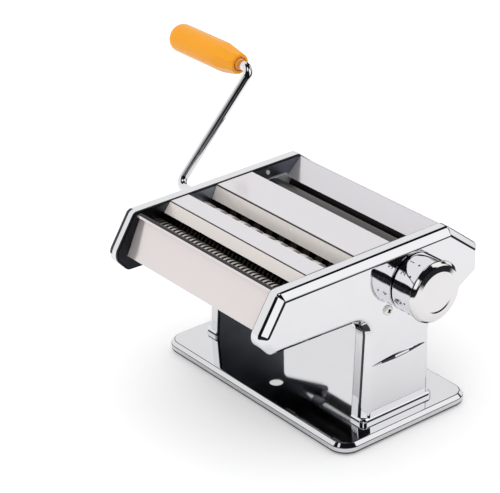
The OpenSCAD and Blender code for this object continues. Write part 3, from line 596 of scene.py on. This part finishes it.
def cover_screw_heads():
    """Domed screw heads with a cross recess, and their shanks."""
    radius, height, edge, crown, shank, length = 3.73, 1.9, 0.4, 2.4, 2, 11
    deep, arm, slot, twist = 1.3, 1.75, 0.55, 20
    work = bmesh.new()
    for side in (-1, 1):
        profile = [(COVER_FACE - length, 0), (COVER_FACE - length, shank),
                   (COVER_FACE, shank), (COVER_FACE, radius)]
        profile += [(COVER_FACE + edge + (height - edge) * sin(radians(10 * k)),
                     crown + (radius - crown) * cos(radians(10 * k))) for k in range(10)]
        rows = revolve(work, profile, POST, 48, side)
        x = COVER_FACE + height
        cross = [(slot, arm), (-slot, arm), (-slot, slot), (-arm, slot), (-arm, -slot), (-slot, -slot),
                 (-slot, -arm), (slot, -arm), (slot, -slot), (arm, -slot), (arm, slot), (slot, slot)]
        places = [rotated(c, radians(twist)) + Vector(POST) for c in cross]
        rim, well = [[work.verts.new((side * d, p.x, p.y)) for p in places] for d in (x, x - deep)]
        fill(work, rows[-1], rim)
        # The recess walls and floor take the painted shade material.
        for i in range(len(rim)):
            j = (i + 1) % len(rim)
            work.faces.new([rim[i], well[i], well[j], rim[j]]).material_index = 1
        work.faces.new(well).material_index = 1
    finish_mesh("cover_screw_heads", work, FASTENER, "frame", ["cover_screws"],
                more=(RECESS,))


# ---- Knob ----
def rounded_profile(points, steps=6):
    """A profile of (x, radius, corner radius) with its inner corners rounded."""
    return [tuple(p) for p in rounded_line(points, steps)]


def knob():
    """The drum, a cup with a thick back wall, and the domed cap on it with its shallow dish."""
    wall, bore, back = 3, 4.1, DIAL_IN - 0.6
    inner, face = DIAL_R - wall, DIAL_OUT + CAP_HEIGHT
    work = bmesh.new()
    revolve(work, rounded_profile([
        (back, bore, 0), (back, DIAL_R, 0.8), (DIAL_OUT, DIAL_R, 0.5), (DIAL_OUT, inner, 0),
        (DIAL_IN + wall, inner, 0), (DIAL_IN + wall, bore, 0), (back, bore, 0)]), KNOB)
    finish_mesh("dial_skin", work, DIAL_CHROME, "knob", ["dial"])
    work = bmesh.new()
    revolve(work, [(DIAL_OUT, 0.0)] + rounded_profile([
        (DIAL_OUT, 12, 0), (DIAL_OUT, CAP_R, 0.4), (face - 3.6, CAP_R, 1.6),
        (face - 1.2, CAP_R - 2.2, 3.2), (face, CAP_R - 7.2, 4.0),
        (face - 0.5, CAP_R - 9.4, 2.4), (face - 0.6, 6, 0), (face - 0.55, 0, 0)], 10), KNOB)
    finish_mesh("knob_cap_skin", work, CAP_CHROME, "knob", ["knob_cap"], sharp=60)


def dial_numbers():
    """Plain numbers 1 to 7 round the drum, each beside a dot, inked just proud of the surface."""
    skin, digit_line, dot_line = DIAL_R + 0.04, DIAL_IN + 5, DIAL_IN + 11.5
    size, dot_r, middle_turn = 6, 0.8, 192
    work = bmesh.new()

    def on_drum(x, angle):
        return x, KNOB[0] + skin * cos(angle), KNOB[1] + skin * sin(angle)

    for step in range(7):
        turn = radians(middle_turn + (step - 3) * DIAL_STEP)
        letter = bpy.data.curves.new("digit", "FONT")
        letter.body = str(step + 1)
        letter.size = size
        letter.align_x = letter.align_y = "CENTER"
        holder = bpy.data.objects.new("digit", letter)
        shape = bpy.data.meshes.new_from_object(holder)
        fresh = len(work.verts)
        work.from_mesh(shape)
        bpy.data.objects.remove(holder)
        work.verts.ensure_lookup_table()
        for v in work.verts[fresh:]:
            v.co = on_drum(digit_line - v.co.y, turn - v.co.x / DIAL_R)
        work.faces.new([work.verts.new(on_drum(dot_line + p.x, turn + p.y / DIAL_R))
                        for p in circle((0, 0), dot_r, 16)])
    finish_mesh("dial_numbers", work, INK, "knob")


def knob_spring():
    """The return spring behind the cap: a coil that fills the length of the model's spring."""
    rest = [v.co for v in nodes["knob_spring"].data.vertices]
    low, high = min(v.x for v in rest) / MM, max(v.x for v in rest) / MM
    wire, coil, turns, steps, sides = 0.6, 7.5, 5, 28, 10
    work = bmesh.new()
    rings = []
    for k in range(turns * steps + 1):
        a = 2 * pi * k / steps
        x = low + wire + (high - low - 2 * wire) * k / (turns * steps)
        ring = []
        for i in range(sides):
            b = 2 * pi * i / sides
            radius = coil + wire * cos(b)
            ring.append((x + wire * sin(b), KNOB[0] + radius * cos(a), KNOB[1] + radius * sin(a)))
        rings.append(ring)
    rows = loft(work, rings)
    work.faces.new(rows[0])
    work.faces.new(rows[-1])
    coil_skin = finish_mesh("knob_spring_skin", work, SPRING, "knob", ["knob_spring"])
    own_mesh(coil_skin)


# ---- Crank ----
def crank():
    """A round rod with two bends: out of the shaft, up along the arm and out again through the grip.
    It stays out of reflections. Its stretch at the grip's mouth is painted the shaded orange-brown of the
    mouth's inside."""
    lean = radians(CRANK_LEAN)
    arm = Vector((0, sin(lean), cos(lean)))
    flat = Vector((-1, 0, 0))
    side = flat.cross(arm)
    shaft = Vector((0, *WIDE_REAR))
    plane = CRANK_X - 4
    root, tip, mouth = 70.6, GRIP_START + GRIP_LENGTH - 3.5, plane + BEND_R + 1
    turns = [pi / 2 * k / 12 for k in range(13)]
    path = [(0, root)]
    path += [(BEND_R * (1 - cos(a)), plane - BEND_R + BEND_R * sin(a)) for a in turns]
    path += [(CRANK_ARM - BEND_R + BEND_R * sin(a), plane + BEND_R - BEND_R * cos(a)) for a in turns]
    path += [(CRANK_ARM, mouth), (CRANK_ARM, tip)]
    work = bmesh.new()
    rings = []
    for k, (up, out) in enumerate(path):
        before, after = path[max(k - 1, 0)], path[min(k + 1, len(path) - 1)]
        along = unit(arm * (after[0] - before[0]) + flat * (after[1] - before[1]))
        over = side.cross(along)
        middle = shaft + arm * up + flat * out
        rings.append([middle + side * p.x + over * p.y for p in circle((0, 0), ROD_R, 40)])
    rows = loft(work, rings)
    work.faces.new(rows[0])
    work.faces.new(rows[-1])
    # The rod inside the grip's mouth takes the painted mouth shade.
    for face in work.faces:
        face.material_index = face.calc_center_median().x < -mouth
    rod = finish_mesh("crank_rod_skin", work, CHROME, "wide_drive", ["crank_rod"],
                      more=(MOUTH_SHADE_STEEL,))
    rod.visible_glossy = False


def grip():
    """A glossy moulding: a round barrel with a domed end, planed in front to a taper by eight flats.
    A sleeve stands out of the recess round the rod. It stays out of reflections."""
    lean = radians(CRANK_LEAN)
    top = Vector((WIDE_REAR[0] + CRANK_ARM * sin(lean), WIDE_REAR[1] + CRANK_ARM * cos(lean)))
    end_r, taper, dome, recess, depth = GRIP_R * 0.71, GRIP_LENGTH * 0.27, GRIP_R * 0.8, 5.6, 3.4
    sleeve, proud, bore, flat_r = 4.3, 1.2, ROD_R + 0.05, GRIP_R * 0.71 * 0.95
    around, steps, eighth = 128, 14, pi / 4
    profile = [(-proud, bore), (-proud, sleeve - 0.3), (0.3 - proud, sleeve), (depth, sleeve),
               (depth, recess - 0.4), (depth - 0.4, recess), (0.4, recess), (0, recess + 0.4)]
    profile += [(1 - cos(radians(15 * k)), end_r - 1.2 + 1.2 * sin(radians(15 * k))) for k in range(7)]
    profile += [(1 + (taper + 3) * k / steps, None) for k in range(1, steps + 1)]
    profile += [(GRIP_LENGTH * (0.4 + 0.2 * k), GRIP_R) for k in range(1, 3)]
    profile += [(GRIP_LENGTH - dome * (1 - sin(radians(7.5 * k))), GRIP_R * cos(radians(7.5 * k)))
                for k in range(13)]
    work = bmesh.new()
    rings = []
    for x, radius in profile:
        ring = []
        for i in range(around):
            angle = 2 * pi * i / around
            off_flat = (angle + eighth / 2) % eighth - eighth / 2
            if radius is None:
                plane = flat_r + (GRIP_R - flat_r) * (x / taper)
                r = min(GRIP_R, max(plane / cos(off_flat), end_r * 0.98))
            else:
                r = max(radius, 0.01)
            ring.append((-GRIP_START - x, top.x + r * cos(angle), top.y + r * sin(angle)))
        rings.append(ring)
    work.faces.new(loft(work, rings)[-1])
    rod_hole = [[(-GRIP_START - x, p.x, p.y) for p in circle(top, bore, around)]
                for x in (-proud, GRIP_LENGTH - 3)]
    work.faces.new(loft(work, rod_hole)[-1])
    handle = finish_mesh("grip_skin", work, GRIP, "grip", ["crank_grip"], sharp=20)
    handle.visible_glossy = False


# ---- Scene ----
def place_camera():
    """The camera stands in front of the right end of the machine and looks down at it."""
    place, lens, sensor = (0.99525, -0.83693, 0.76682), 150.67, 36
    azimuth, elevation, roll = radians(51.87), radians(27.02), radians(1.25)
    back = Vector((sin(azimuth) * cos(elevation), -cos(azimuth) * cos(elevation), sin(elevation)))
    right = Vector((cos(azimuth), sin(azimuth), 0))
    up = back.cross(right)
    across = cos(roll) * right - sin(roll) * up
    upright = sin(roll) * right + cos(roll) * up
    turn = Matrix((across, upright, back)).transposed().to_4x4()
    data = bpy.data.cameras.new("camera")
    data.sensor_width = sensor
    data.sensor_fit = "HORIZONTAL"
    data.lens = lens
    data.clip_start = 0.05
    camera = bpy.data.objects.new("camera", data)
    camera.matrix_world = Matrix.Translation(place) @ turn
    bpy.context.scene.collection.objects.link(camera)
    bpy.context.scene.camera = camera


def mathed(tree, operation, *values):
    """A maths node fed with sockets or numbers; returns its result."""
    node = tree.nodes.new("ShaderNodeMath")
    node.operation = operation
    for socket, value in zip(node.inputs, values):
        if isinstance(value, (int, float)):
            socket.default_value = value
        else:
            tree.links.new(value, socket)
    return node.outputs[0]


def near(tree, angle, middle, half, soft, turns):
    """1 where an angle in degrees lies within half of middle, falling smoothly to 0 over soft."""
    away = mathed(tree, "SUBTRACT", angle, middle)
    if turns:
        away = mathed(tree, "WRAP", away, 180, -180)
    edge = tree.nodes.new("ShaderNodeMapRange")
    edge.interpolation_type = "SMOOTHSTEP"
    edge.inputs["From Min"].default_value = half + soft
    edge.inputs["From Max"].default_value = half
    tree.links.new(mathed(tree, "ABSOLUTE", away), edge.inputs["Value"])
    return edge.outputs["Result"]


# Soft boxes round the set: azimuth from +X, half width, elevation, half height, softness (all degrees), level
SOFT_BOXES = [
    (184, 50, 24, 28, 5, 0.86),
    (54, 14, 34, 26, 6, 1.0),
    (318, 8, 22, 11, 3, 1.0),
    (345.6, 5, 12, 5, 2.5, 1.0),
    (268, 7, 49, 4, 2, 0.9),
    (95, 10, 16, 14, 6, 0.9),
    (0, 180, 90, 9, 5, 1.0),
]
DARK_ROOM = (0.006, 0.006, 0.008)


def world():
    """Pure white behind the machine, and soft boxes in a dark room that only reflections show."""
    made = bpy.data.worlds.new("studio")
    bpy.context.scene.world = made
    made.use_nodes = True
    tree = made.node_tree
    background = tree.nodes["Background"]
    place = tree.nodes.new("ShaderNodeTexCoord")
    split = tree.nodes.new("ShaderNodeSeparateXYZ")
    tree.links.new(place.outputs["Generated"], split.inputs[0])
    azimuth = mathed(tree, "DEGREES", mathed(tree, "ARCTAN2", split.outputs["Y"], split.outputs["X"]))
    elevation = mathed(tree, "DEGREES", mathed(tree, "ARCSINE", split.outputs["Z"]))
    light = None
    for middle, half, height, reach, soft, level in SOFT_BOXES:
        box = mathed(tree, "MULTIPLY", near(tree, azimuth, middle, half, soft, True),
                     near(tree, elevation, height, reach, soft, False))
        box = mathed(tree, "MULTIPLY", box, level)
        light = box if light is None else mathed(tree, "MAXIMUM", light, box)
    path = tree.nodes.new("ShaderNodeLightPath")
    plain = mathed(tree, "SUBTRACT", 1, path.outputs["Is Glossy Ray"])
    shown = mathed(tree, "MAXIMUM", light, plain)
    tree.links.new(tint(tree, shown, DARK_ROOM, (1, 1, 1)), background.inputs["Color"])


def floor():
    """White paper, evenly bright for the camera, with a painted glowing spot where the line of sight through
    the clamp's hole meets it. In reflections it ends in the dark a good way out, except behind the left end.
    """
    fade_start, fade_end = 0.42, 0.60
    leg_corner, open_turn, open_half = (0.083, -0.030), 195, 48
    hole_seen, hole_reach = (-0.011, -0.026, 0), 0.012  # painted glow: a brighter spot on the floor under the base, seen through the clamp's hole
    paper_glow, hole_glow = 0.22, 0.35
    material, tree, shader = new_material("floor_paper")
    path = tree.nodes.new("ShaderNodeLightPath")
    place = tree.nodes.new("ShaderNodeTexCoord")
    reach = tree.nodes.new("ShaderNodeVectorMath")
    reach.operation = "LENGTH"
    tree.links.new(place.outputs["Object"], reach.inputs[0])
    edge = tree.nodes.new("ShaderNodeMapRange")
    edge.interpolation_type = "SMOOTHSTEP"
    edge.inputs["From Min"].default_value = fade_start
    edge.inputs["From Max"].default_value = fade_end
    tree.links.new(reach.outputs["Value"], edge.inputs["Value"])
    split = tree.nodes.new("ShaderNodeSeparateXYZ")
    tree.links.new(place.outputs["Object"], split.inputs[0])
    across = mathed(tree, "SUBTRACT", split.outputs["X"], leg_corner[0])
    along = mathed(tree, "SUBTRACT", split.outputs["Y"], leg_corner[1])
    turn = mathed(tree, "DEGREES", mathed(tree, "ARCTAN2", along, across))
    closed = mathed(tree, "SUBTRACT", 1, near(tree, turn, open_turn, open_half, 8, True))
    dark = mathed(tree, "MULTIPLY", edge.outputs["Result"], closed)
    dark = mathed(tree, "MULTIPLY", dark, path.outputs["Is Glossy Ray"])
    paper = tint(tree, noise(tree, 3, 2), (0.94, 0.94, 0.945), (0.96, 0.96, 0.965))
    mix = tree.nodes.new("ShaderNodeMix")
    mix.data_type = "RGBA"
    mix.inputs[7].default_value = (0.02, 0.02, 0.025, 1)
    tree.links.new(dark, mix.inputs[0])
    tree.links.new(paper, mix.inputs[6])
    tree.links.new(mix.outputs[2], shader.inputs["Base Color"])
    shader.inputs["Roughness"].default_value = 0.9
    shader.inputs["Specular IOR Level"].default_value = 0.0
    shader.inputs["Emission Color"].default_value = (1, 1, 1, 1)
    hole = tree.nodes.new("ShaderNodeVectorMath")
    hole.operation = "DISTANCE"
    hole.inputs[1].default_value = hole_seen
    tree.links.new(place.outputs["Object"], hole.inputs[0])
    # Painted light: the floor glows more for the camera in the spot under the clamp's hole.
    under_hole = mathed(tree, "LESS_THAN", hole.outputs["Value"], hole_reach)
    glow = mathed(tree, "ADD", mathed(tree, "MULTIPLY", under_hole, hole_glow), paper_glow)
    seen = mathed(tree, "MULTIPLY", path.outputs["Is Camera Ray"], glow)
    tree.links.new(seen, shader.inputs["Emission Strength"])
    work = bmesh.new()
    bmesh.ops.create_grid(work, x_segments=1, y_segments=1, size=6)
    mesh = bpy.data.meshes.new("floor")
    work.to_mesh(mesh)
    work.free()
    mesh.materials.append(material)
    sheet = bpy.data.objects.new("floor", mesh)
    bpy.context.scene.collection.objects.link(sheet)


bpy.context.scene.view_settings.view_transform = "Standard"
place_camera()
world()
floor()
cad_finish()
base_tray()
side_covers()
bent_strip("front_apron_skin",
           [(-96.1, 129.6, 0), (-94.7, 131.9, 1.1), (-93.2, 130.9, 0.9), (-106.5, 103, 0)],
           "front_apron", WARM_REFLECTION_SHEET, WARM_REFLECTION_SHEET)
bent_strip("mid_deck_skin",
           [(-51.8, DECK_TOP, 0), (-67.8, DECK_TOP, 1.2), (-73.6, DECK_TOP - 7, 0)],
           "mid_deck", POLISHED, WALL_SHEET)
bent_strip("roller_deck_skin",
           [(5.3, DECK_TOP, 0), (-26.85, DECK_TOP, 1.2), (-31.3, DECK_TOP - 9.8, 0)],
           "roller_deck", POLISHED, WALL_SHEET)
leg_collars()
leg_crease()
cover_screw_heads()
knob()
dial_numbers()
knob_spring()
crank()
grip()
